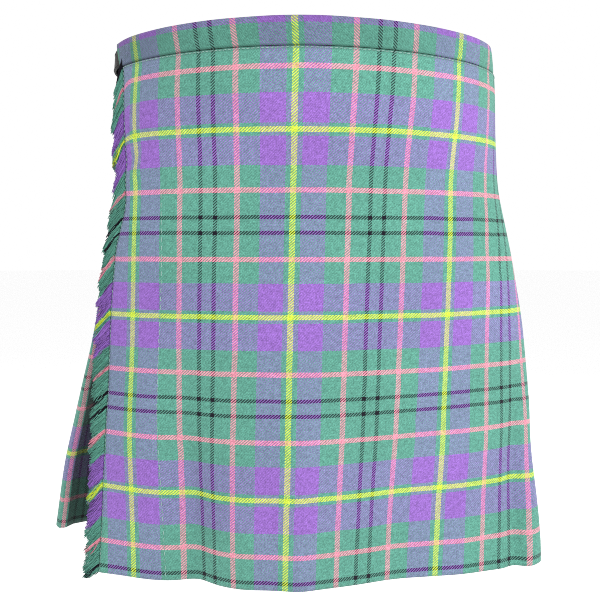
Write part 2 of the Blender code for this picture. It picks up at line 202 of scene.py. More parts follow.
class Outline:
    """The closed outline of the body at one height, walked by its length."""

    STEPS = 96              # points on each quarter of the front
    POINTS = 720            # points on the finished loop
    ROUNDING = 0.016        # how far to each side a corner is rounded
    STRIDE = 0.004          # how far to each side a direction is measured

    def __init__(self, height: float) -> None:
        """Work out the outline at a height.

        Args:
            height: where it lies.
        """
        self.height = height
        heights = [row.height for row in SECTIONS]
        rows = {name: read_table(height, heights, [getattr(row, name) for row in SECTIONS])
                for name in Section.__dataclass_fields__}
        quarter = np.linspace(0.0, np.pi / 2, self.STEPS)
        front_left = self._quarter(quarter, rows["left"], rows["depth"], rows["left_power"])
        front_right = self._quarter(quarter, rows["right"], rows["depth"], rows["right_power"])
        front_right = front_right * (-1.0, 1.0)
        back = np.linspace(0.0, np.pi, 2 * self.STEPS)
        half = np.where(back < np.pi / 2, rows["seat_left"], rows["seat_right"])
        seat_y = rows["seat_centre"] + rows["seat_depth"] * np.sin(back)
        seat = np.stack([half * np.cos(back), seat_y], 1)
        self._walk(self._soften(np.concatenate([front_left, seat, front_right[::-1]])))

    @staticmethod
    def _quarter(angle: np.ndarray, half: float, depth: float, power: float) -> np.ndarray:
        """Return a quarter of the front, from the centre to the side."""
        return np.stack([half * np.sin(angle) ** (2 / power), -depth * np.cos(angle) ** (2 / power)], 1)

    def _soften(self, loop: np.ndarray) -> np.ndarray:
        """Resample the closed loop evenly and round its corners.

        Args:
            loop: one row of x and y for each corner.

        Returns:
            The even, rounded loop.
        """
        closed = np.concatenate([loop, loop[:1]])
        length = np.concatenate([[0.0], np.cumsum(np.hypot(*np.diff(closed, axis=0).T))])
        even = np.linspace(0.0, length[-1], self.POINTS, endpoint=False)
        points = np.stack([np.interp(even, length, closed[:, axis]) for axis in (0, 1)], 1)
        reach = max(1, int(self.ROUNDING / (length[-1] / self.POINTS)))
        weights = np.hanning(2 * reach + 1)
        weights /= weights.sum()
        padded = np.concatenate([points[-reach:], points, points[:reach]])
        return np.stack([np.convolve(padded[:, axis], weights, mode="valid") for axis in (0, 1)], 1)

    def _walk(self, points: np.ndarray) -> None:
        """Measure the loop from its centre front, going to the wearer's left.

        Args:
            points: the even, rounded loop.
        """
        front = int(np.argmin(np.where(points[:, 1] < 0, np.abs(points[:, 0]), np.inf)))
        points = np.roll(points, -front, axis=0)
        self.points = np.concatenate([points, points[:1]])
        self.length = np.concatenate([[0.0], np.cumsum(np.hypot(*np.diff(self.points, axis=0).T))])
        self.perimeter = float(self.length[-1])

    def _read(self, places: np.ndarray) -> np.ndarray:
        """Return the bare outline points at distances round the body."""
        wrapped = places % self.perimeter
        return np.stack([np.interp(wrapped, self.length, self.points[:, axis]) for axis in (0, 1)], -1)

    def at(self, places: np.ndarray, outs: np.ndarray) -> np.ndarray:
        """Return the points at distances round the body, moved out along the normals.

        Args:
            places: distances round the body.
            outs: how far out of the outline each point lies.

        Returns:
            One row of x, y, z for each place.
        """
        places = np.asarray(places, float)
        along = self._read(places + self.STRIDE) - self._read(places - self.STRIDE)
        normal = np.stack([along[..., 1], -along[..., 0]], -1)
        normal /= np.hypot(normal[..., 0], normal[..., 1])[..., None]
        flat = self._read(places) + normal * np.asarray(outs, float)[..., None]
        return np.concatenate([flat, np.full(flat.shape[:-1] + (1,), self.height)], -1)


class Body:
    """The outlines of the worn kilt, made once for each height."""

    _known: dict[float, Outline] = {}

    @classmethod
    def at(cls, height: float) -> Outline:
        """Return the outline at a height.

        Args:
            height: where it lies.

        Returns:
            The outline, from memory where it has been asked for before.
        """
        key = round(height, 6)
        if key not in cls._known:
            cls._known[key] = Outline(key)
        return cls._known[key]

    @classmethod
    def point(cls, place: float, height: float, out: float = 0.0) -> Vector:
        """Return one point at a place, a height and a distance out."""
        return Vector(cls.at(height).at(np.array([place]), np.array([out]))[0])


@dataclass(frozen=True)
class Fold:
    """A soft fold that runs down the cloth; a negative depth is a trough."""

    place: float
    half_width: float
    depth: float
    starts: float
    full: float
    drift: float = 0.0

    def out(self, places: np.ndarray, height: float) -> np.ndarray:
        """Work out how far it moves the cloth out.

        Args:
            places: distances round the body.
            height: the one height that they all have.

        Returns:
            How far out, for each place.
        """
        centre = self.place + self.drift * smooth(-height, -self.starts, -HEM)
        bump = np.exp(-((places - centre) / self.half_width) ** 2)
        return self.depth * bump * smooth(-height, -self.starts, -self.full)


@dataclass(frozen=True)
class Crease:
    """A short soft crease between two spots on the cloth, each a place and a height."""

    start: tuple[float, float]
    end: tuple[float, float]
    half_width: float
    depth: float

    def out(self, places: np.ndarray, height: float) -> np.ndarray:
        """Work out how far it moves the cloth out.

        Args:
            places: distances round the body.
            height: the one height that they all have.

        Returns:
            How far out, for each place.
        """
        run = np.array(self.end) - np.array(self.start)
        length = float(np.hypot(*run))
        offset = np.stack([places - self.start[0], np.full_like(places, height - self.start[1])], -1)
        along = offset @ run / length
        across = offset @ np.array([-run[1], run[0]]) / length
        rise = smooth(along, -self.half_width, length * 0.35)
        ends = rise * (1.0 - smooth(along, length * 0.65, length + self.half_width))
        return self.depth * ends * np.exp(-(across / self.half_width) ** 2)


APRON_FOLDS = (
    Fold(-0.122, 0.020, -0.011, -0.26, -0.50, 0.004),
    Fold(-0.162, 0.028, 0.003, -0.24, -0.46, -0.010),
    Fold(-0.062, 0.026, 0.005, -0.30, -0.52),
    Fold(0.100, 0.034, -0.004, -0.30, -0.52, 0.008),
    Fold(0.256, 0.012, -0.006, -0.30, -0.46),
    Fold(0.190, 0.030, 0.003, -0.28, -0.48),
    Fold(0.294, 0.018, 0.012, -0.40, -0.56),
)
APRON_CREASES = (
    Crease((-0.196, -0.118), (-0.150, -0.092), 0.009, -0.0017),
    Crease((-0.188, -0.135), (-0.158, -0.118), 0.008, 0.0018),
    Crease((0.105, -0.385), (0.150, -0.372), 0.007, -0.0012),
    Crease((0.060, -0.330), (0.130, -0.350), 0.012, 0.0010),
    Crease((-0.100, -0.330), (-0.030, -0.372), 0.014, 0.0011),
    Crease((-0.140, -0.420), (-0.080, -0.400), 0.010, -0.0013),
    Crease((0.200, -0.180), (0.240, -0.230), 0.012, -0.0012),
    Crease((0.020, -0.470), (0.060, -0.520), 0.013, -0.0012),
    Crease((-0.020, -0.200), (0.050, -0.214), 0.016, 0.0008),
    Crease((-0.080, -0.060), (-0.020, -0.070), 0.014, 0.0007),
)


def apron_out(places: np.ndarray, height: float) -> np.ndarray:
    """Add up how far the folds and creases move the over apron out.

    Args:
        places: distances round the body.
        height: the one height that they all have.

    Returns:
        How far out, for each place.
    """
    total = np.zeros_like(places)
    for shape in APRON_FOLDS + APRON_CREASES:
        total = total + shape.out(places, height)
    return total


# ---------------------------------------------------------------- tartan
class Yarn(Enum):
    """The yarns of the tartan, in linear colour."""

    YELLOW = (0.560, 0.720, 0.060)
    GREEN = (0.100, 0.305, 0.235)
    PURPLE = (0.268, 0.127, 0.472)
    PINK = (0.720, 0.270, 0.350)
    BLACK = (0.008, 0.007, 0.014)


LIGHT_YARNS = (Yarn.YELLOW, Yarn.PINK)

# Half a repeat, from the middle of a yellow stripe to the middle of the green between two black ones:
# each stripe's yarn and width.
WARP = ((Yarn.YELLOW, 0.0029), (Yarn.GREEN, 0.0047), (Yarn.PURPLE, 0.0247), (Yarn.GREEN, 0.0197),
        (Yarn.PINK, 0.0056), (Yarn.GREEN, 0.0170), (Yarn.BLACK, 0.0044), (Yarn.GREEN, 0.0055))
WEFT = ((Yarn.YELLOW, 0.0025), (Yarn.GREEN, 0.0036), (Yarn.PURPLE, 0.0277), (Yarn.GREEN, 0.0217),
        (Yarn.PINK, 0.0053), (Yarn.GREEN, 0.0220), (Yarn.BLACK, 0.0041), (Yarn.GREEN, 0.00585))


class Tree:
    """Adds and links nodes in one shader tree."""

    def __init__(self, tree: bpy.types.NodeTree) -> None:
        """Keep the tree that nodes go into."""
        self.tree = tree

    def add(self, kind: str, inputs: dict | None = None, **settings: object) -> bpy.types.Node:
        """Add a node.

        Args:
            kind: its type, such as ShaderNodeMath.
            inputs: values or sockets for its inputs, by name or number.
            settings: its own settings.

        Returns:
            The node.
        """
        node = self.tree.nodes.new(kind)
        for name, value in settings.items():
            setattr(node, name, value)
        for name, value in (inputs or {}).items():
            self.feed(value, node.inputs[name])
        return node

    def feed(self, value: object, socket: bpy.types.NodeSocket) -> None:
        """Link a socket to an input, or set the input's value.

        Args:
            value: another node's output, or a plain value.
            socket: the input.
        """
        if isinstance(value, bpy.types.NodeSocket):
            self.tree.links.new(value, socket)
        else:
            socket.default_value = value

    def math(self, operation: str, *values: object) -> bpy.types.NodeSocket:
        """Add a Math node and return its result."""
        return self.add("ShaderNodeMath", dict(enumerate(values)), operation=operation).outputs[0]

    def product(self, first: object, *others: object) -> bpy.types.NodeSocket:
        """Multiply values.

        Args:
            first: a value or a socket.
            others: more of them.

        Returns:
            Their product.
        """
        for other in others:
            first = self.math("MULTIPLY", first, other)
        return first

    def mix(self, factor: object, first: object, second: object,
            blend: str = "MIX") -> bpy.types.NodeSocket:
        """Mix two colours.

        Args:
            factor: how far the result goes toward the second.
            first: a colour.
            second: another.
            blend: how they are mixed.

        Returns:
            The mixed colour.
        """
        node = self.add("ShaderNodeMix", data_type="RGBA", blend_type=blend)
        for number, value in ((0, factor), (6, first), (7, second)):
            self.feed(value, node.inputs[number])
        return node.outputs[2]

    def shaded(self, colour: object, shade: object) -> bpy.types.NodeSocket:
        """Multiply a colour by one value and return the result."""
        grey = self.add("ShaderNodeCombineColor", {0: shade, 1: shade, 2: shade}).outputs[0]
        return self.mix(1.0, colour, grey, "MULTIPLY")

    def ranged(self, value: object, low: object, high: object, start: float,
               end: float) -> bpy.types.NodeSocket:
        """Map a value smoothly from low..high to start..end."""
        return self.add("ShaderNodeMapRange", {0: value, 1: low, 2: high, 3: start, 4: end},
                        interpolation_type="SMOOTHSTEP").outputs[0]

    def noise(self, vector: object, scale: float, detail: float = 2.0) -> bpy.types.NodeSocket:
        """Add a noise and return its value."""
        return self.add("ShaderNodeTexNoise", {"Vector": vector, "Scale": scale, "Detail": detail}).outputs[0]


@dataclass(frozen=True)
class Mottle:
    """Uneven light and dark that comes from one noise."""

    scale: float
    detail: float
    low: float              # the noise that gives the darkest shade
    high: float             # the noise that gives the lightest one
    darkest: float
    lightest: float

    def noise(self, tree: Tree, place: object) -> bpy.types.NodeSocket:
        """Add its noise and return it."""
        return tree.noise(place, self.scale, self.detail)

    def shade(self, tree: Tree, noise: object) -> bpy.types.NodeSocket:
        """Turn its noise into a shade and return it."""
        return tree.ranged(noise, self.low, self.high, self.darkest, self.lightest)


def new_group(name: str, inputs: Sequence[tuple[str, str]], outputs: Sequence[tuple[str, str]]) -> tuple:
    """Make an empty node group.

    Args:
        name: its name.
        inputs: each input's name and socket type.
        outputs: each output's name and socket type.

    Returns:
        The group's tree, its input node and its output node.
    """
    group = bpy.data.node_groups.new(name, "ShaderNodeTree")
    for label, kind in inputs:
        group.interface.new_socket(label, in_out="INPUT", socket_type=kind)
    for label, kind in outputs:
        group.interface.new_socket(label, in_out="OUTPUT", socket_type=kind)
    return group, group.nodes.new("NodeGroupInput"), group.nodes.new("NodeGroupOutput")


class TartanGroup:
    """The weave: two sets of coloured yarns crossed in a 2/2 twill, read from the cloth's own measure."""

    STRAY = 0.0016          # how far a stripe strays from its line
    STRAY_SCALE = 16.0
    LEAN = 0.90             # how far the measure across moves a twill line down
    WARP_SHARE = 0.57       # the share of the cloth's face where the warp lies on top
    LIGHT_SHARE = 0.13      # how much more of the face a light stripe takes
    SOFT_EDGE = 0.15        # how gradually one yarn goes under the other
    UNDER_SHOWS = 0.10      # how much of the yarn beneath is seen through the one on top
    GROOVE = (0.64, 1.13)   # painted shade in the groove between two yarns, and painted light on top of a yarn
    FUZZ = Mottle(620.0, 2.0, 0.28, 0.72, 0.77, 1.22)
    HEATHER = Mottle(210.0, 3.0, 0.20, 0.80, 0.84, 1.14)
    PATCH = Mottle(9.0, 3.0, 0.30, 0.70, 0.955, 1.04)
    LOOSE = Mottle(210.0, 3.0, 0.30, 0.70, 0.72, 1.15)

    @staticmethod
    def sett_ramp(tree: Tree, measure: object, sett: Sequence[tuple[Yarn, float]],
                  period: float) -> bpy.types.Node:
        """Add a ramp that gives the yarn at a measure along the cloth.

        Args:
            tree: where the nodes go.
            measure: how far along the cloth, in metres.
            sett: half a sett, from its first pivot to its second.
            period: the whole sett's width.

        Returns:
            The ramp node; its alpha is 1 on the light stripes.
        """
        mirrored = tree.math("PINGPONG", measure, period / 2)
        ramp = tree.add("ShaderNodeValToRGB", {0: tree.math("DIVIDE", mirrored, period / 2)})
        ramp.color_ramp.interpolation = "CONSTANT"
        spot = 0.0
        for number, (yarn, width) in enumerate(sett):
            stops = ramp.color_ramp.elements
            stop = stops[number] if number < 2 else stops.new(min(spot / (period / 2), 1.0))
            stop.position = spot / (period / 2)
            stop.color = (*yarn.value, 1.0 if yarn in LIGHT_YARNS else 0.0)
            spot += width
        return ramp

    @classmethod
    def crossing(cls, tree: Tree, across: object, down: object, twist: object) -> tuple:
        """Work out which yarn lies on top.

        Args:
            tree: where the nodes go.
            across: the measure across the cloth.
            down: the measure down it.
            twist: 1 or -1, the way the twill climbs.

        Returns:
            The woven colour, the loose weft's colour and the groove's painted shade and light.
        """
        warp = cls.sett_ramp(tree, across, WARP, WARP_SETT)
        weft = cls.sett_ramp(tree, down, WEFT, WEFT_SETT)
        slant = tree.math("DIVIDE", tree.math("ADD", down, tree.product(across, cls.LEAN, twist)), TWILL)
        wave = tree.product(tree.math("PINGPONG", slant, 0.5), 2.0)
        lighter = tree.math("SUBTRACT", weft.outputs["Alpha"], warp.outputs["Alpha"])
        share = tree.math("ADD", cls.WARP_SHARE, tree.product(cls.LIGHT_SHARE, lighter))
        over = tree.ranged(wave, tree.math("SUBTRACT", share, cls.SOFT_EDGE),
                           tree.math("ADD", share, cls.SOFT_EDGE), cls.UNDER_SHOWS, 1.0 - cls.UNDER_SHOWS)
        woven = tree.mix(over, weft.outputs["Color"], warp.outputs["Color"])
        from_edge = tree.math("ABSOLUTE", tree.math("SUBTRACT", wave, share))
        return woven, weft.outputs["Color"], tree.ranged(from_edge, 0.0, 2 * cls.SOFT_EDGE, *cls.GROOVE)

    @classmethod
    def build(cls) -> bpy.types.NodeTree:
        """Build the group.

        Returns:
            The group, with outputs for woven cloth, loose weft threads, relief and roughness.
        """
        group, given, result = new_group(
            "tartan weave",
            [("Cloth", "NodeSocketVector"), ("Tone", "NodeSocketFloat"), ("Twist", "NodeSocketFloat")],
            [("Color", "NodeSocketColor"), ("Weft", "NodeSocketColor"), ("Height", "NodeSocketFloat"),
             ("Roughness", "NodeSocketFloat")])
        tree = Tree(group)
        cloth = given.outputs["Cloth"]
        tone = given.outputs["Tone"]
        parts = tree.add("ShaderNodeSeparateXYZ", {0: cloth})
        stray = tree.product(tree.math("SUBTRACT", tree.noise(cloth, cls.STRAY_SCALE, 1.0), 0.5), cls.STRAY)
        across = tree.math("ADD", parts.outputs[0], stray)
        down = tree.math("ADD", parts.outputs[1], stray)
        woven, weft, groove = cls.crossing(tree, across, down, given.outputs["Twist"])
        fuzz = cls.FUZZ.noise(tree, cloth)
        heather = cls.HEATHER.noise(tree, cloth)
        # Painted shade: the cloth attribute's third part darkens the colour where shade falls in folds and
        # beneath other layers; on the fringe threads it is each thread's random shade
        deep = tree.math("SUBTRACT", 1.0, tree.product(parts.outputs[2], PAINTED_FOLD_SHADE))
        shade = tree.product(groove, cls.FUZZ.shade(tree, fuzz), cls.HEATHER.shade(tree, heather),
                             cls.PATCH.shade(tree, cls.PATCH.noise(tree, cloth)), tone, deep)
        loose = tree.product(cls.LOOSE.shade(tree, heather), tone, deep)
        relief = tree.math("ADD", tree.product(groove, 0.8), tree.product(fuzz, 0.4))
        tree.feed(tree.shaded(woven, shade), result.inputs["Color"])
        tree.feed(tree.shaded(weft, loose), result.inputs["Weft"])
        tree.feed(relief, result.inputs["Height"])
        tree.feed(tree.ranged(fuzz, 0.2, 0.8, 0.82, 0.98), result.inputs["Roughness"])
        return group


class GrainGroup:
    """A pebbled leather grain with wear, read from the object's own coordinates."""

    PEBBLES = 900.0
    CREASES = 300.0
    WEAR = 60.0
    WORN_COLOUR = (0.030, 0.026, 0.023, 1.0)

    @classmethod
    def build(cls) -> bpy.types.NodeTree:
        """Build the group.

        Returns:
            The group, with outputs for colour, relief and roughness.
        """
        group, given, result = new_group(
            "leather grain",
            [("Vector", "NodeSocketVector"), ("Color", "NodeSocketColor")],
            [("Color", "NodeSocketColor"), ("Height", "NodeSocketFloat"), ("Roughness", "NodeSocketFloat")])
        tree = Tree(group)
        place = given.outputs["Vector"]
        pebbles = tree.add("ShaderNodeTexVoronoi", {"Vector": place, "Scale": cls.PEBBLES},
                           feature="SMOOTH_F1")
        wear = tree.noise(place, cls.WEAR, 4.0)
        creases = tree.product(tree.noise(place, cls.CREASES, 3.0), 0.4)
        worn = tree.mix(tree.ranged(wear, 0.45, 0.75, 0.0, 0.5), given.outputs["Color"], cls.WORN_COLOUR)
        tree.feed(worn, result.inputs["Color"])
        tree.feed(tree.math("SUBTRACT", creases, pebbles.outputs[0]), result.inputs["Height"])
        tree.feed(tree.ranged(wear, 0.3, 0.7, 0.46, 0.66), result.inputs["Roughness"])
        return group


def new_material(name: str) -> tuple[bpy.types.Material, Tree, bpy.types.Node]:
    """Make a material.

    Args:
        name: its name.

    Returns:
        The material, its tree and its Principled shader.
    """
    made = bpy.data.materials.new(name)
    made.use_nodes = True
    return made, Tree(made.node_tree), made.node_tree.nodes["Principled BSDF"]


def object_place(tree: Tree) -> bpy.types.NodeSocket:
    """Return the piece's own coordinates."""
    return tree.add("ShaderNodeTexCoord").outputs["Object"]


def weave_node(tree: Tree, weave: bpy.types.NodeTree, tone: float) -> bpy.types.Node:
    """Add the weave, read from the cloth's own measure.

    Args:
        tree: the material's tree.
        weave: the weave group.
        tone: how light the cloth is.

    Returns:
        The group node.
    """
    cloth = tree.add("ShaderNodeAttribute", attribute_name="cloth").outputs["Vector"]
    return tree.add("ShaderNodeGroup", {"Cloth": cloth, "Tone": tone}, node_tree=weave)


def dress(tree: Tree, shader: bpy.types.Node, colour: object, roughness: object,
          relief: tuple[float, float, object]) -> None:
    """Give a shader its colour, its roughness and its relief.

    Args:
        tree: the material's tree.
        shader: its Principled shader.
        colour: the base colour.
        roughness: the roughness.
        relief: the bump's strength, its distance and its height.
    """
    strength, distance, height = relief
    bump = tree.add("ShaderNodeBump", {"Strength": strength, "Distance": distance, "Height": height})
    tree.feed(colour, shader.inputs["Base Color"])
    tree.feed(roughness, shader.inputs["Roughness"])
    tree.feed(bump.outputs[0], shader.inputs["Normal"])


@dataclass(frozen=True)
class ClothFinish:
    """Twill wool in the tartan."""

    name: str
    tone: float = 1.0
    twist: float = 1.0          # 1 where the twill climbs to the wearer's left, -1 where it falls
    sheen: float = 0.10
    sheen_roughness: float = 0.5
    specular: float = 0.15
    bump: float = 0.35

    def build(self, weave: bpy.types.NodeTree) -> bpy.types.Material:
        """Build the material.

        Args:
            weave: the weave group.

        Returns:
            The material.
        """
        made, tree, shader = new_material(self.name)
        group = weave_node(tree, weave, self.tone)
        group.inputs["Twist"].default_value = self.twist
        dress(tree, shader, group.outputs["Color"], group.outputs["Roughness"],
              (self.bump, 0.0004, group.outputs["Height"]))
        shader.inputs["Sheen Weight"].default_value = self.sheen
        shader.inputs["Sheen Roughness"].default_value = self.sheen_roughness
        shader.inputs["Specular IOR Level"].default_value = self.specular
        return made


@dataclass(frozen=True)
class ThreadFinish:
    """Loose wool threads in the colours of the weft."""

    name: str
    tone: float = 0.9
    specular: float = 0.15
    fibres: float = 2400.0
    blotches: float = 400.0

    def build(self, weave: bpy.types.NodeTree) -> bpy.types.Material:
        """Build the material.

        Args:
            weave: the weave group.

        Returns:
            The material.
        """
        made, tree, shader = new_material(self.name)
        group = weave_node(tree, weave, self.tone)
        place = object_place(tree)
        roughness = tree.ranged(tree.noise(place, self.blotches), 0.3, 0.7, 0.8, 0.95)
        dress(tree, shader, group.outputs["Weft"], roughness, (0.5, 0.0002, tree.noise(place, self.fibres)))
        shader.inputs["Specular IOR Level"].default_value = self.specular
        return made


@dataclass(frozen=True)
class LeatherFinish:
    """Black grained strap leather."""

    name: str
    colour: tuple[float, float, float] = (0.018, 0.016, 0.015)
    specular: float = 0.12

    def build(self, grain: bpy.types.NodeTree) -> bpy.types.Material:
        """Build the material.

        Args:
            grain: the grain group.

        Returns:
            The material.
        """
        made, tree, shader = new_material(self.name)
        group = tree.add("ShaderNodeGroup", {}, node_tree=grain)
        tree.feed(object_place(tree), group.inputs["Vector"])
        group.inputs["Color"].default_value = (*self.colour, 1.0)
        dress(tree, shader, group.outputs["Color"], group.outputs["Roughness"],
              (0.5, 0.0003, group.outputs["Height"]))
        shader.inputs["Specular IOR Level"].default_value = self.specular
        return made


@dataclass(frozen=True)
class SteelFinish:
    """Plain steel wire, lightly brushed."""

    name: str
    colour: tuple[float, float, float] = (0.62, 0.61, 0.58)
    dull_colour: tuple[float, float, float] = (0.40, 0.39, 0.37)
    scratches: float = 700.0
    blotches: float = 90.0

    def build(self) -> bpy.types.Material:
        """Build the material.

        Returns:
            The material.
        """
        made, tree, shader = new_material(self.name)
        place = object_place(tree)
        scratches = tree.noise(place, self.scratches, 4.0)
        dull = tree.ranged(tree.noise(place, self.blotches, 3.0), 0.4, 0.7, 0.0, 0.5)
        tint = tree.mix(dull, (*self.colour, 1.0), (*self.dull_colour, 1.0))
        dress(tree, shader, tint, tree.ranged(scratches, 0.3, 0.7, 0.20, 0.38), (0.15, 0.0002, scratches))
        shader.inputs["Metallic"].default_value = 1.0
        return made


@dataclass(frozen=True)
class StitchFinish:
    """Sewing thread."""

    name: str
    colour: tuple[float, float, float]
    darker: float = 0.6         # the shade in the thread's twist
    plies: float = 1800.0

    def build(self) -> bpy.types.Material:
        """Build the material.

        Returns:
            The material.
        """
        made, tree, shader = new_material(self.name)
        twist = tree.noise(object_place(tree), self.plies, 1.0)
        dark = tuple(self.darker * part for part in self.colour)
        tint = tree.mix(twist, (*self.colour, 1.0), (*dark, 1.0))
        dress(tree, shader, tint, tree.ranged(twist, 0.3, 0.7, 0.6, 0.85), (0.4, 0.0001, twist))
        return made


class Finishes:
    """Every material of the kilt, built once."""

    def __init__(self) -> None:
        """Build the shared groups and the materials."""
        weave = TartanGroup.build()
        grain = GrainGroup.build()
        self.apron = ClothFinish("tartan wool").build(weave)
        self.band = ClothFinish("tartan band", tone=0.78, twist=-1.0).build(weave)
        self.inner = ClothFinish("tartan inner", tone=0.92).build(weave)
        self.threads = ThreadFinish("loose weft threads").build(weave)
        self.leather = LeatherFinish("black strap leather").build(grain)
        # Near-black leather for the hole rings: painted shade standing for each punched hole's hollow
        self.holes = LeatherFinish("strap hole painted shade", colour=(0.004, 0.004, 0.004)).build(grain)
        self.steel = SteelFinish("buckle steel").build()
        self.stitch = StitchFinish("green sewing thread", (0.36, 0.55, 0.50)).build()
        self.dark_stitch = StitchFinish("dark sewing thread", (0.03, 0.05, 0.05)).build()


# ---------------------------------------------------------------- making pieces
Surface = Callable[[np.ndarray, float], tuple]


def place_piece(made: bpy.types.Object, replaced: Sequence[str] = ()) -> bpy.types.Object:
    """Ride a finished piece on the kilt and hide the solids that it stands for.

    Args:
        made: the piece.
        replaced: the names of the solids that it stands for.

    Returns:
        The piece.
    """
    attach(made, "root")
    if replaced:
        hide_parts(*replaced)
    return made


def object_from(mesh: bmesh.types.BMesh, name: str, look: bpy.types.Material) -> bpy.types.Object:
    """Turn a bmesh into a smooth object with one material.

    Args:
        mesh: the bmesh, which is freed.
        name: the object's name.
        look: its material.

    Returns:
        The object.
    """
    data = bpy.data.meshes.new(name)
    mesh.to_mesh(data)
    mesh.free()
    data.shade_smooth()
    data.materials.append(look)
    made = bpy.data.objects.new(name, data)
    bpy.context.scene.collection.objects.link(made)
    return made


def cloth_sheet(name: str, look: bpy.types.Material, columns: int, heights: Sequence[float],
                surface: Surface, thickness: float) -> bpy.types.Object:
    """Make a piece of cloth as a thin shell, with its own measure and its painted shade as the attribute
    "cloth".

    Args:
        name: the piece's name.
        look: its material.
        columns: how many steps the cloth has round the body.
        heights: its rows, from the top down.
        surface: gives, for column fractions at a height, the places, how far out, the measure across
        the cloth, the measure down it and how much painted shade it gets, from 0 to 1.
        thickness: the wall, which lies inside the surface.

    Returns:
        The piece.
    """
    mesh = bmesh.new()
    cloth = mesh.verts.layers.float_vector.new("cloth")
    rows = len(heights) - 1
    bmesh.ops.create_grid(mesh, x_segments=columns, y_segments=rows, size=1.0)
    points = []
    measures = []
    count = columns + 1
    for height in heights:
        places, outs, *measure = surface(np.arange(count) / columns, height)
        points.append(Body.at(height).at(places, outs))
        measures.append(np.stack([np.broadcast_to(part, count) for part in measure], -1))
    for vert in mesh.verts:
        column = round((vert.co.x + 1) / 2 * columns)
        row = round((1 - vert.co.y) / 2 * rows)
        vert.co = points[row][column]
        vert[cloth] = measures[row][column]
    made = object_from(mesh, name, look)
    wall = made.modifiers.new("wall", "SOLIDIFY")
    wall.thickness = thickness
    wall.offset = -1.0
    wall.use_quality_normals = True
    return made


def spread(low: float, high: float, count: int) -> np.ndarray:
    """Return count + 1 evenly spaced values from low to high."""
    return np.linspace(low, high, count + 1)


def tubes(name: str, look: bpy.types.Material, paths: Sequence[np.ndarray], radius: float, sides: int = 4,
          cyclic: bool = False, radii: Sequence[float] | None = None) -> bpy.types.Object:
    """Make round threads or wires along paths, joined in one piece.

    Args:
        name: the piece's name.
        look: its material.
        paths: the middle line of each.
        radius: half of their thickness.
        sides: how many flat sides each has round it; 4, 6, 8 and so on.
        cyclic: whether each path closes on itself.
        radii: how thick each point is as a share of the radius, the same on every path.

    Returns:
        The piece, as a mesh.
    """
    curve = bpy.data.curves.new(name, "CURVE")
    curve.dimensions = "3D"
    curve.bevel_depth = radius
    curve.bevel_resolution = sides // 2 - 2
    for path in paths:
        spline = curve.splines.new("POLY")
        spline.points.add(len(path) - 1)
        flat = np.concatenate([path, np.ones((len(path), 1))], 1)
        spline.points.foreach_set("co", flat.ravel())
        if radii is not None:
            spline.points.foreach_set("radius", radii)
        spline.use_cyclic_u = cyclic
    source = bpy.data.objects.new(name + "_path", curve)
    bpy.context.scene.collection.objects.link(source)
    bpy.context.view_layer.update()
    data = bpy.data.meshes.new_from_object(source.evaluated_get(bpy.context.evaluated_depsgraph_get()))
    bpy.data.objects.remove(source, do_unlink=True)
    data.name = name
    if not cyclic:
        ends = bmesh.new()
        ends.from_mesh(data)
        bmesh.ops.holes_fill(ends, edges=[edge for edge in ends.edges if edge.is_boundary], sides=sides)
        ends.to_mesh(data)
        ends.free()
    data.materials.clear()
    data.materials.append(look)
    data.shade_smooth()
    made = bpy.data.objects.new(name, data)
    bpy.context.scene.collection.objects.link(made)
    return made


@dataclass
class Stitches:
    """A row of short stitches lying on the cloth."""

    # Along a stitch, as a share of its length, and how far it stands out there.
    ARC = ((-0.5, -0.0003), (-0.3, 0.0002), (0.0, 0.00035), (0.3, 0.0002), (0.5, -0.0003))

    name: str
    spots: list[tuple[float, float, float]] = field(default_factory=list)
    length: float = 0.0030
    upright: bool = False
    thread: float = 0.00035
    slant: float = 0.0

    def build(self, look: bpy.types.Material) -> bpy.types.Object:
        """Build the row from its spots, each a place, a height and how far out the cloth lies.

        Args:
            look: the thread's material.

        Returns:
            The row, as one piece.
        """
        paths = []
        for place, height, out in self.spots:
            path = []
            for part, lift in self.ARC:
                along = part * self.length
                if self.upright:
                    path.append(Body.point(place + along * self.slant, height - along, out + lift))
                else:
                    path.append(Body.point(place + along, height + along * self.slant, out + lift))
            paths.append(np.array(path))
        made = tubes(self.name, look, paths, self.thread)
        return place_piece(made)


# ---------------------------------------------------------------- the cloth
def apron_face(place: float, height: float) -> float:
    """Return how far out the over apron's face lies at one spot."""
    return float(apron_out(np.array([place]), height)[0])


def apron_down(places: np.ndarray, height: float) -> np.ndarray:
    """Return the measure down the over apron; near the waist it dips toward the frayed edge."""
    near_edge = smooth(-(places - APRON_RIGHT.at(height)), -0.024, 0.002) ** 2
    return down_to(height) - 0.0080 * float(smooth(height, -0.15, -0.02)) * near_edge


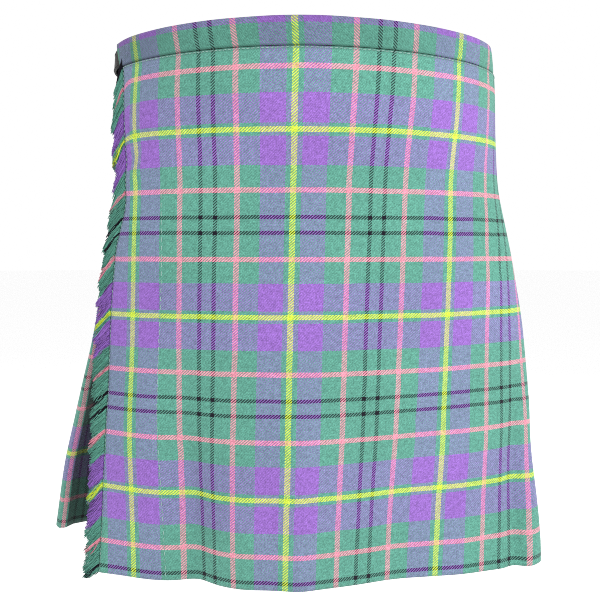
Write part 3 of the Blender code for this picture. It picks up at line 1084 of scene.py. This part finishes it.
@dataclass
class Fringe:
    """The loose weft threads of the over apron's right edge, combed down and away in clumps."""

    count: int = 1900
    radius: float = 0.00050
    steps: int = 6
    seed: int = 7
    root: float = 0.0015            # how far in from the edge a thread starts
    drop: float = 0.0205            # how far below its start it ends
    clump_drop: float = 0.0028      # how much further in the middle of a clump
    uneven_drop: float = 0.0022
    clump_reach: float = 0.0008
    uneven_reach: float = 0.0026
    low_drop: float = 0.18          # the share of the drop that is lost low down
    low_reach: float = 0.33         # the share of the reach that is lost there
    curl: float = 0.0018
    layer_step: float = 0.0006
    lift: float = 0.0026            # how far a thread's end stands off the cloth
    overhang: float = 0.007         # how far the last threads hang past the hem
    taper: tuple[float, ...] = (0.9, 1.0, 1.0, 1.0, 0.95, 0.6)
    fibre_step: float = 0.0004      # the measure across from one thread to the next

    def thread(self, number: int, height: float, chance: np.random.Generator) -> np.ndarray:
        """Lay one thread.

        Args:
            number: which it is, from the top down.
            height: where it leaves the cloth.
            chance: draws how it differs from the others.

        Returns:
            Its path.
        """
        low = float(smooth(-height, 0.20, 0.36))
        clump = math.sin(height * 310.0) + 0.6 * math.sin(height * 137.0 + 1.0)
        drop = self.drop + self.clump_drop * clump + chance.uniform(-self.uneven_drop, self.uneven_drop)
        drop = min(drop * (1.0 - self.low_drop * low), (height - HEM) + self.overhang)
        start = APRON_RIGHT.at(height)
        reach = (start - FRINGE_EDGE.at(max(height - drop, HEM))) * (1.0 - self.low_reach * low)
        reach += self.clump_reach * clump - abs(chance.normal(0.0, self.uneven_reach))
        curl = chance.uniform(-self.curl, self.curl)
        layer = self.layer_step * (number % 3 - 1)
        path = []
        for step in range(self.steps):
            part = step / (self.steps - 1)
            down = max(height - drop * part + curl * math.sin(part * 7.0 + number), HEM - self.overhang)
            place = start + self.root - reach * part - clump * 0.0006 * part
            lift = self.lift * part * (0.6 + 0.4 * math.sin(height * 200.0))
            out = apron_face(place, max(down, HEM)) + layer + lift
            path.append(Body.point(place, max(down, HEM), out) + Vector((0, 0, min(0.0, down - HEM))))
        return np.array(path)

    def build(self, look: bpy.types.Material) -> bpy.types.Object:
        """Lay all the threads, each in the colour of the weft where it leaves the cloth.

        Args:
            look: the threads' material.

        Returns:
            The threads, as one piece.
        """
        chance = np.random.default_rng(self.seed)
        paths = []
        measures = []
        for number in range(self.count):
            fraction = (number + chance.uniform(-0.5, 0.5)) / self.count
            height = FRINGE_TOP + fraction * (HEM + 0.0005 - FRINGE_TOP)
            paths.append(self.thread(number, height, chance))
            down = float(apron_down(np.array([APRON_RIGHT.at(height)]), height)[0])
            shade = chance.normal(-0.06, 0.30) + 0.16 * math.sin(height * 900.0)
            measures.append((number * self.fibre_step, BLACK_ROW if height > BLACK_FROM else down,
                             float(np.clip(shade, -0.30, 0.85))))
        made = tubes("fringe_threads", look, paths, self.radius, radii=self.taper)
        cloth = made.data.attributes.new("cloth", "FLOAT_VECTOR", "POINT")
        values = np.repeat(measures, len(made.data.vertices) // len(paths), axis=0)
        cloth.data.foreach_set("vector", values.ravel())
        return place_piece(made, ["fringe"])


@dataclass
class OverApron:
    """The fringed front panel, with its frayed edge at the wearer's right."""

    columns: int = 168
    rows: int = 150
    thin_edge: float = 0.0012       # how far the frayed edge lies in from the face
    seam_inset: float = 0.0030      # how far in from that edge its seam runs
    seam_step: float = 0.0052
    facing: float = -0.1405         # the place of the facing's stitches
    facing_drift: float = 0.010     # how far round they run toward the hem
    facing_top: float = -0.150
    facing_step: float = 0.0085

    def surface(self, fractions: np.ndarray, height: float) -> tuple:
        """Work out one row of the panel.

        Args:
            fractions: from 0 at its right edge to 1 at its left.
            height: the row's height.

        Returns:
            The places, how far out they lie, the measures across and down, and how much painted shade.
        """
        right = APRON_RIGHT.at(height)
        places = right + fractions * (APRON_LEFT.at(height) - right)
        edge = self.thin_edge * smooth(-(places - right), -0.006, 0.0)
        # Painted shadow along the top rows, just beneath the waistband's foot
        deep = 0.4 * float(smooth(height, CLOTH_TOP - 0.0018, CLOTH_TOP))
        down = apron_down(places, height)
        return places, apron_out(places, height) - edge, across_cloth(places, height), down, deep

    def stitching(self, look: bpy.types.Material) -> list[bpy.types.Object]:
        """Sew down the frayed edge and the facing.

        Args:
            look: the thread's material.

        Returns:
            Both rows of stitches.
        """
        seam = Stitches("fringe_seam", length=0.0034, upright=True, thread=0.00025)
        facing = Stitches("facing_stitches", length=0.0048, upright=True, thread=0.00042)
        for height in np.arange(CLOTH_TOP - 0.003, HEM, -self.seam_step):
            place = APRON_RIGHT.at(height) + self.seam_inset
            seam.spots.append((place, height, apron_face(place, height) - 0.0002))
        for height in np.arange(self.facing_top, HEM + 0.006, -self.facing_step):
            place = self.facing - self.facing_drift * smooth(-height, 0.20, 0.40)
            facing.spots.append((place, height, apron_face(place, height)))
        return [seam.build(look), facing.build(look)]

    def build(self, finishes: Finishes) -> None:
        """Build the panel, its fringe and its stitching.

        Args:
            finishes: the kilt's materials.
        """
        heights = spread(CLOTH_TOP, HEM, self.rows)
        panel = cloth_sheet("over_apron_cloth", finishes.apron, self.columns, heights, self.surface,
                            APRON_WALL)
        place_piece(panel, ["over_apron"])
        fringe = Fringe()
        pieces = [fringe.build(finishes.threads), *self.stitching(finishes.stitch)]
        LOG.info("over apron with %d fringe threads", fringe.count)


@dataclass
class UnderApron:
    """The plain panel beneath, which turns in to the deep pleat at the wearer's right."""

    columns: int = 120
    rows: int = 90
    hang: float = 0.010             # how far in it hangs at the hem
    turn_in: float = 0.036          # how much further in where it meets the deep pleat
    wave: float = 0.0022
    waves: float = 34.0

    def surface(self, fractions: np.ndarray, height: float) -> tuple:
        """Work out one row of the panel.

        Args:
            fractions: from 0 at its right edge to 1 at its left.
            height: the row's height.

        Returns:
            The places, how far out they lie, the measures across and down, and how much painted shade.
        """
        right = UNDER_RIGHT.at(height)
        places = right + fractions * (UNDER_LEFT.at(height) - right)
        hang = self.hang * smooth(-height, 0.20, 0.45)
        valley = self.turn_in * smooth(-places, 0.205, 0.300) * smooth(-height, -FELL, 0.40)
        waves = self.wave * smooth(-height, 0.20, 0.50) * np.sin(places * self.waves + 1.2)
        # Painted shade near the right edge, low down, in the valley where the panel turns in to the deep
        # pleat
        deep = smooth(-places, 0.19, 0.24) * smooth(-height, 0.15, 0.30)
        outs = UNDER_OUT - hang - valley + waves
        return places, outs, across_cloth(places, height) + UNDER_SHIFT, down_to(height), deep

    def build(self, finishes: Finishes) -> None:
        """Build the panel.

        Args:
            finishes: the kilt's materials.
        """
        heights = spread(CLOTH_TOP, HEM, self.rows)
        panel = cloth_sheet("under_apron_cloth", finishes.inner, self.columns, heights, self.surface,
                            APRON_WALL)
        place_piece(panel, ["under_apron"])
        LOG.info("under apron")


@dataclass
class Waistbands:
    """The folded strip along the top of the over apron and pleats, and the one on the under apron."""

    rows: int = 12
    outer_columns: int = 330
    inner_columns: int = 130
    crown: float = 0.0007           # how far its middle stands out
    sink: float = 0.0006            # how far its edges lie in
    skew: float = 0.016             # how much further round its top corner reaches than its bottom one
    end: float = 0.232              # how far round the other way from the centre front the outer one ends
    first_row: float = 0.0280       # the measure down the cloth at its top
    row_ease: float = 0.98
    stitch_step: float = 0.0046

    def strip(self, fractions: np.ndarray, height: float, ends: tuple[float, float], base: float | np.ndarray,
              shift: float) -> tuple:
        """Work out one row of a strip.

        Args:
            fractions: from 0 at its right end to 1 at its left.
            height: the row's height.
            ends: the places where it begins and ends.
            base: how far out the cloth beneath it lies.
            shift: how far its stripes are moved across.

        Returns:
            The places, how far out they lie, the measures across and down, and how much painted shade.
        """
        part = (TOP - height) / BAND_HEIGHT
        start = ends[0] - self.skew * (1.0 - part)
        places = start + fractions * (ends[1] - start)
        rounding = self.crown * (1.0 - (2.0 * part - 1.0) ** 4) - self.sink
        ripple = 0.0003 * np.sin(places * 90.0) * np.sin(places * 23.0)
        shear = (0.0015 - 0.030 * np.clip(places, -0.25, 0.25)) * (1.0 - part)
        across = across_cloth(places, -BAND_HEIGHT / 2) + shear + shift
        # Painted shadow along the strip's foot, weaker toward the wearer's left; then painted shade toward
        # the wearer's right and painted light toward the left, where the value goes below nothing
        seam = float(smooth(part, 0.93, 1.0)) * (0.5 - 0.3 * smooth(places, 0.0, 0.15))
        deep = seam + 0.22 * smooth(-places, 0.12, 0.20) - 0.20 * smooth(places, 0.06, 0.20)
        return places, base + rounding + ripple, across, self.first_row + (TOP - height) * self.row_ease, deep

    def outer(self, fractions: np.ndarray, height: float) -> tuple:
        """Work out one row of the strip over the apron and round the back; see strip."""
        start = APRON_RIGHT.at(TOP)
        end = Body.at(TOP).perimeter - self.end
        places = start + fractions * (end - start)
        base = BAND_OUT + (PLEAT_OUT - BAND_OUT) * smooth(places, 0.235, 0.325)
        return self.strip(fractions, height, (start, end), base, 0.0)

    def inner(self, fractions: np.ndarray, height: float) -> tuple:
        """Work out one row of the strip on the under apron; see strip."""
        ends = (UNDER_RIGHT.at(TOP) + 0.004, UNDER_LEFT.at(TOP))
        return self.strip(fractions, height, ends, UNDER_OUT + 0.0002, UNDER_SHIFT)

    def stitching(self, look: bpy.types.Material) -> bpy.types.Object:
        """Sew along the foot of the outer strip.

        Args:
            look: the thread's material.

        Returns:
            The row of stitches.
        """
        edge = Stitches("waistband_stitches", length=0.0034, thread=0.00036, slant=0.15)
        end = Body.at(TOP).perimeter - self.end - 0.004
        for place in np.arange(APRON_RIGHT.at(TOP) + 0.004, end, self.stitch_step):
            out = PLEAT_OUT * smooth(place, 0.290, 0.300)
            edge.spots.append((float(place), -BAND_HEIGHT / 2 - 0.0019, float(out)))
        return edge.build(look)

    def build(self, finishes: Finishes) -> None:
        """Build both strips and the stitching under the outer one.

        Args:
            finishes: the kilt's materials.
        """
        heights = spread(TOP, -TOP, self.rows)
        outer = cloth_sheet("waistband_cloth", finishes.band, self.outer_columns, heights, self.outer,
                            BAND_WALL)
        place_piece(outer, ["waistband"])
        inner = cloth_sheet("under_waistband_cloth", finishes.band, self.inner_columns, heights, self.inner,
                            BAND_WALL)
        place_piece(inner, ["under_waistband"])
        self.stitching(finishes.stitch)
        LOG.info("waistbands")


# ---------------------------------------------------------------- pleats
@dataclass
class Pleats:
    """Knife pleats from the left hip round the back, one cloth folded to and fro."""

    count: int = 21
    rows: int = 78
    face_steps: int = 9
    turn_steps: int = 6
    seed: int = 11
    under: float = 0.014            # how far the cloth runs back beneath each pleat
    hip_under: float = 0.052        # and beneath the deep one, which comes last
    drop: float = 0.0088            # how far a pleat's inner side lies beneath its fold
    loose_drop: float = 0.0092      # how much further at the hem
    bulge: float = 0.0015           # a pleat's face bulges by half of this, the deep one's by twice this
    loose_bulge: float = 0.0035     # what is added to it at the hem
    turn: float = 0.0040            # how wide a fold is from its face to its back
    hip_turn: float = 0.0105
    hip_swing: float = 0.030        # how far the deep pleat's back swings in at the hem
    sway_by: float = 0.0026         # how far a fold strays at the hem
    width: float = 0.0312           # the measure across from one fold to the next
    pink_at: float = 0.0548         # the measure at the last fold

    def __post_init__(self) -> None:
        """Draw how uneven each pleat is."""
        chance = np.random.default_rng(self.seed)
        self.sway = chance.uniform(-1.0, 1.0, self.count)
        self.open = chance.uniform(-1.0, 1.0, self.count)

    def edges(self, height: float) -> np.ndarray:
        """Work out where each pleat's fold lies.

        Args:
            height: the height to work it out at.

        Returns:
            Each fold's place, from the wearer's left hip round the back.
        """
        left = PLEATS_LEFT.at(height)
        right = Body.at(height).perimeter + PLEATS_RIGHT.at(height)
        steps = left + (np.arange(self.count) + 1.0) * (right - left) / self.count
        loose = float(smooth(-height, -FELL, -HEM))
        steps[:-1] += self.sway_by * loose * self.sway[:-1]
        return steps

    def section(self, height: float) -> tuple[np.ndarray, ...]:
        """Fold the cloth to and fro at one height.

        Args:
            height: where the section is taken.

        Returns:
            The places, how far out each point lies, the measure across the cloth and how much painted shade
            each gets.
        """
        loose = float(smooth(-height, -FELL, -HEM))
        inner = PLEATS_LEFT.at(height)
        points: list[tuple[float, float, float, float]] = []
        for number, edge in enumerate(self.edges(height)):
            points += self.face(number, inner, edge, loose) + self.fold(number, edge, loose)
            points += self.return_under(number, edge, loose)
            place, out, across, deep = points[-1]
            inner = place
            points.append((place - 0.0009, out - 0.0009, across + 0.0012, deep))
        return tuple(np.array(points).T)

    def is_hip(self, number: int) -> bool:
        """Tell whether a pleat is the deep one at the wearer's right hip."""
        return number == self.count - 1

    def sizes(self, number: int, loose: float) -> tuple[float, float, float]:
        """Work out the sizes of one pleat's fold.

        Args:
            number: which pleat it is.
            loose: 0 where the pleats are stitched down, 1 at the hem.

        Returns:
            How wide the fold is, the length of its arc, and the measure across the cloth at its middle.
        """
        turn = self.turn
        if self.is_hip(number):
            turn += (self.hip_turn - self.turn) * loose ** 0.35
        return turn, math.pi * turn / 2.0, (number + 1 - self.count) * self.width + self.pink_at

    def face(self, number: int, inner: float, edge: float, loose: float) -> list[tuple]:
        """Lay the face of one pleat, from beneath the pleat before to its own fold.

        Args:
            number: which pleat it is.
            inner: the place where its face begins.
            edge: the place of its fold.
            loose: 0 where the pleats are stitched down, 1 at the hem.

        Returns:
            Each point's place, how far out it lies, its measure across and its painted shade.
        """
        _, arc, middle = self.sizes(number, loose)
        drop = (self.drop + self.loose_drop * loose) * (1.0 + 0.16 * self.open[number] * loose)
        bulge = (self.bulge + self.loose_bulge * loose) * (2.0 if self.is_hip(number) else 0.5)
        points = []
        for part in np.linspace(0.0, 1.0, self.face_steps, endpoint=False):
            place = inner + (edge - inner) * part
            out = PLEAT_OUT - drop * (1.0 - part) ** 1.2 + bulge * math.sin(math.pi * part)
            # Painted shade where the face starts beneath the pleat before
            deep = 0.9 * (1.0 - part / 0.45) if part < 0.45 else 0.0
            points.append((place, out, middle - arc / 2 - (edge - place), deep))
        return points

    def fold(self, number: int, edge: float, loose: float) -> list[tuple]:
        """Turn the cloth at one pleat's fold.

        Args:
            number: which pleat it is.
            edge: the place of its fold.
            loose: 0 where the pleats are stitched down, 1 at the hem.

        Returns:
            Points as face gives them.
        """
        turn, arc, middle = self.sizes(number, loose)
        points = []
        for angle in np.linspace(0.0, math.pi, self.turn_steps):
            place = edge + turn / 2 * math.sin(angle) * (0.55 if self.is_hip(number) else 1.0)
            out = PLEAT_OUT - turn / 2 * (1.0 - math.cos(angle))
            # Painted shade rising round the back of the fold
            deep = float(smooth(angle, 0.72 * math.pi, math.pi))
            points.append((place, out, middle - arc / 2 + arc * angle / math.pi, deep))
        return points

    def return_under(self, number: int, edge: float, loose: float) -> list[tuple]:
        """Run the cloth back beneath one pleat.

        Args:
            number: which pleat it is.
            edge: the place of its fold.
            loose: 0 where the pleats are stitched down, 1 at the hem.

        Returns:
            Points as face gives them.
        """
        turn, arc, middle = self.sizes(number, loose)
        back = self.hip_under if self.is_hip(number) else self.under * (1.0 + 0.2 * loose)
        swing = self.hip_swing * loose if self.is_hip(number) else 0.0012 + 0.004 * loose
        # The cloth beneath each pleat gets full painted shade
        return [(edge - back * part, PLEAT_OUT - turn - swing * part, middle + arc / 2 + back * part, 1.0)
                for part in (0.25, 0.5, 0.75, 1.0)]

    def surface(self, fractions: np.ndarray, height: float) -> tuple:
        """Work out one row of the cloth; its columns are the section's own points."""
        places, outs, across, deeps = self.section(height)
        return places, outs, across, down_to(height), deeps

    def build(self, finishes: Finishes) -> None:
        """Build the pleated cloth.

        Args:
            finishes: the kilt's materials.
        """
        columns = len(self.section(HEM)[0]) - 1
        cloth = cloth_sheet("pleated_cloth", finishes.apron, columns, spread(CLOTH_TOP, HEM, self.rows),
                            self.surface, PLEAT_WALL)
        nodes = [f"pleat_{number:02d}" for number in range(1, self.count)] + ["right_hip_pleat"]
        place_piece(cloth, nodes)
        places, outs = self.section((CLOTH_TOP + HEM) / 2)[:2]
        length = float(np.hypot(np.diff(places), np.diff(outs)).sum())
        LOG.info("%d pleats from %.2f m of cloth", self.count, length)


# ---------------------------------------------------------------- closures
@dataclass
class Closure:
    """A strap and buckle; toward is +1 where the strap runs on to the wearer's left, -1 to the right."""

    name: str
    root: float
    buckle: float
    height: float
    toward: int
    strap_width: float = 0.020
    buckle_length: float = 0.024
    buckle_width: float = 0.0262
    wire: float = 0.0013
    frame_out: float = 0.0038
    frame_corner: float = 0.0055
    prong: float = 0.0010
    prong_length: float = 0.0195
    tip_past: float = 0.045         # how far past the buckle the strap's tip lies
    hole: float = 0.0011
    holes: int = 4

    @property
    def tip(self) -> float:
        """Return the place of the strap's tip."""
        return self.buckle + self.toward * self.tip_past

    def leather(self, part_name: str, look: bpy.types.Material, start: float, end: float, out: Callable,
                width: float, thickness: float, pointed: bool = False) -> bpy.types.Object:
        """Make one leather piece that lies round the body.

        Args:
            part_name: what it is called after the closure's name.
            look: its material.
            start: the place where it begins.
            end: the place where it ends.
            out: gives how far out its face lies at places.
            width: its size up and down.
            thickness: its wall.
            pointed: whether its end is cut to a point.

        Returns:
            The piece.
        """
        mesh = bmesh.new()
        bmesh.ops.create_grid(mesh, x_segments=60, y_segments=8, size=1.0)
        for vert in mesh.verts:
            fraction = (vert.co.x + 1) / 2 if self.toward > 0 else (1 - vert.co.x) / 2
            height = self.height + vert.co.y * width / 2
            narrow = 1.0
            if pointed:
                into_point = max(0.0, (fraction - 0.90) / 0.10)
                narrow = math.sqrt(max(0.0, 1.0 - into_point ** 2.2)) * 0.92 + 0.08
            height = self.height + (height - self.height) * narrow
            place = start + fraction * (end - start)
            vert.co = Body.point(place, height, float(out(place)) - 0.0003 * abs(vert.co.y) ** 6)
        made = object_from(mesh, f"{self.name}_{part_name}_leather", look)
        wall = made.modifiers.new("wall", "SOLIDIFY")
        wall.thickness = thickness
        wall.offset = -1.0
        round_edge = made.modifiers.new("edge", "BEVEL")
        round_edge.width = 0.0004
        round_edge.segments = 2
        return place_piece(made, [f"{self.name}_{part_name}"])

    def rise(self, place: float) -> float:
        """Return how far out the strap's face lies at a place, as it climbs over the chape."""
        along = self.toward * (place - self.buckle)
        return STRAP_OUT + (STRAP_WALL + 0.0004) * float(smooth(along, -0.012, 0.0))

    def axes(self) -> tuple[Vector, Vector, Vector]:
        """Work out how the buckle lies.

        Returns:
            Its middle, its direction along the strap and its direction outward.
        """
        spot = Body.point(self.buckle, self.height)
        along = (Body.point(self.buckle + self.toward * 0.004, self.height) - spot).normalized()
        outward = (Body.point(self.buckle, self.height, 0.01) - spot).normalized()
        return spot, along, outward

    def metal(self, look: bpy.types.Material) -> None:
        """Make the wire frame and its prong.

        Args:
            look: the steel.
        """
        spot, along, outward = self.axes()
        up = Vector((0.0, 0.0, 1.0))
        path = []
        for turn, (side_long, side_wide) in enumerate(((1, 1), (-1, 1), (-1, -1), (1, -1))):
            for step in range(6):
                angle = math.radians(90.0 * turn + 18.0 * step)
                ahead = side_long * (self.buckle_length / 2 - self.frame_corner)
                ahead += self.frame_corner * math.cos(angle)
                high = side_wide * (self.buckle_width / 2 - self.frame_corner)
                high += self.frame_corner * math.sin(angle)
                path.append(spot + along * ahead + up * high + outward * self.frame_out)
        frame = tubes(f"{self.name}_buckle_wire", look, [np.array(path)], self.wire, 12, cyclic=True)
        place_piece(frame, [f"{self.name}_buckle"])
        bow = ((-0.5, 0.0), (-0.45, 0.0004), (-0.2, 0.0005), (0.2, 0.0003), (0.5, -0.0002))
        prong = [spot + along * (self.prong_length * part) + outward * (self.frame_out + lift)
                 for part, lift in bow]
        pin = tubes(f"{self.name}_prong_wire", look, [np.array(prong)], self.prong, 10,
                    radii=[0.9, 1.0, 1.0, 0.85, 0.5])
        place_piece(pin, [f"{self.name}_prong"])

    def sewing(self, look: bpy.types.Material) -> None:
        """Sew along the strap's edges.

        Args:
            look: the thread's material.
        """
        edge = Stitches(f"{self.name}_strap_stitches", length=0.0022, thread=0.00022)
        inset = self.strap_width / 2 - 0.0019
        for side in (-1, 1):
            for part in np.arange(0.02, 0.86, 0.0034 / abs(self.tip - self.root)):
                place = self.root + part * (self.tip - self.root)
                edge.spots.append((place, self.height + side * inset, self.rise(place)))
        edge.build(look)

    def punch(self, look: bpy.types.Material) -> None:
        """Mark the strap's holes, one behind the buckle and the others past it.

        Args:
            look: the near-black material of the rings, painted shade for the hollow inside each hole.
        """
        # Each hole is a thin near-black ring on the strap's face: painted shade where the hole's hollow would
        # be
        rings = []
        for number in range(self.holes):
            past = -0.014 + number * 0.013 + (0.010 if number else 0.0)
            place = self.buckle + self.toward * past
            ring = []
            for angle in np.linspace(0.0, math.tau, 10, endpoint=False):
                round_place = place + self.hole * math.cos(angle)
                round_height = self.height + self.hole * math.sin(angle)
                ring.append(Body.point(round_place, round_height, self.rise(place) + 0.00005))
            rings.append(np.array(ring))
        holes = tubes(f"{self.name}_holes", look, rings, 0.0004, 6, cyclic=True)
        place_piece(holes)

    def build(self, finishes: Finishes) -> None:
        """Build the strap, chape, keeper, buckle and prong.

        Args:
            finishes: the kilt's materials.
        """
        over_strap = STRAP_OUT + 2 * STRAP_WALL + 0.0004
        look = finishes.leather
        self.leather("strap", look, self.root, self.tip, self.rise, self.strap_width, STRAP_WALL, True)
        self.leather("chape", look, self.buckle + self.toward * 0.004, self.buckle + self.toward * 0.062,
                     lambda place: STRAP_OUT, self.strap_width, STRAP_WALL)
        self.leather("keeper", look, self.buckle + self.toward * 0.022, self.buckle + self.toward * 0.030,
                     lambda place: over_strap, self.strap_width + 0.0012, 0.0012)
        self.metal(finishes.steel)
        self.sewing(finishes.dark_stitch)
        self.punch(finishes.holes)
        LOG.info("closure %s", self.name)


CLOSURES = (
    Closure("right_waist", -0.176, -0.335, 0.0, -1),
    Closure("right_hip", -0.176, -0.335, -0.105, -1),
    Closure("left_waist", 0.333, 0.405, 0.0, 1),
)


# ---------------------------------------------------------------- studio
@dataclass
class Studio:
    """A pale floor, soft light and the camera."""

    floor_height: float = HEM - 0.35
    camera_at: tuple[float, float, float] = (0.0, -0.900, -0.204)
    pitch: float = 3.5              # degrees downward
    lens: float = 48.0
    aim: tuple[float, float, float] = (0.0, 0.0, -0.28)
    filter_width: float = 1.0       # narrow, and with no denoising, so that the fine twill stays

    def area(self, name: str, place: Sequence[float], size: float, power: float) -> None:
        """Hang a square soft light that faces the middle of the kilt.

        Args:
            name: its name.
            place: where it hangs.
            size: the length of its side.
            power: its power in watts.
        """
        light = bpy.data.lights.new(name, "AREA")
        light.shape = "SQUARE"
        light.size = size
        light.energy = power
        made = bpy.data.objects.new(name, light)
        made.location = place
        made.rotation_euler = (Vector(self.aim) - Vector(place)).to_track_quat("-Z", "Y").to_euler()
        bpy.context.scene.collection.objects.link(made)

    def floor(self) -> None:
        """Lay the pale floor."""
        mesh = bmesh.new()
        bmesh.ops.create_circle(mesh, cap_ends=True, segments=64, radius=30.0)
        bmesh.ops.translate(mesh, verts=mesh.verts, vec=(0.0, 0.0, self.floor_height))
        look, tree, shader = new_material("pale floor")
        place = tree.add("ShaderNodeTexCoord").outputs["Object"]
        tint = tree.mix(tree.noise(place, 3.0), (0.97, 0.97, 0.97, 1.0), (0.98, 0.98, 0.98, 1.0))
        tree.feed(tint, shader.inputs["Base Color"])
        shader.inputs["Roughness"].default_value = 0.9
        object_from(mesh, "floor", look)

    def build(self) -> None:
        """Set the world, lights, floor and camera."""
        scene = bpy.context.scene
        world = bpy.data.worlds.new("studio")
        world.use_nodes = True
        background = world.node_tree.nodes["Background"]
        background.inputs["Color"].default_value = (1.0, 1.0, 1.0, 1.0)
        background.inputs["Strength"].default_value = 1.0
        scene.world = world
        scene.view_settings.view_transform = "Standard"
        scene.cycles.filter_width = self.filter_width
        scene.cycles.use_denoising = False
        self.area("key", (1.7, -2.2, 1.1), size=1.6, power=34.0)
        self.area("side", (2.2, -1.0, 0.5), size=1.0, power=13.0)
        self.area("fill", (-1.8, -2.2, 0.4), size=2.0, power=6.0)
        self.area("back", (0.6, 2.8, 1.2), size=2.0, power=22.0)
        self.floor()
        camera = bpy.data.cameras.new("camera")
        camera.lens = self.lens
        camera.sensor_width = 36.0
        camera.clip_end = 100.0
        made = bpy.data.objects.new("camera", camera)
        made.location = self.camera_at
        made.rotation_euler = (math.radians(90.0 - self.pitch), 0.0, 0.0)
        scene.collection.objects.link(made)
        scene.camera = made
        LOG.info("studio")


def main() -> None:
    """Build the kilt and the studio round it."""
    logging.basicConfig(level=logging.INFO, format="%(name)s: %(message)s")
    finishes = Finishes()
    Studio().build()
    Waistbands().build(finishes)
    OverApron().build(finishes)
    UnderApron().build(finishes)
    Pleats().build(finishes)
    for closure in CLOSURES:
        closure.build(finishes)


if __name__ == "__main__":
    main()
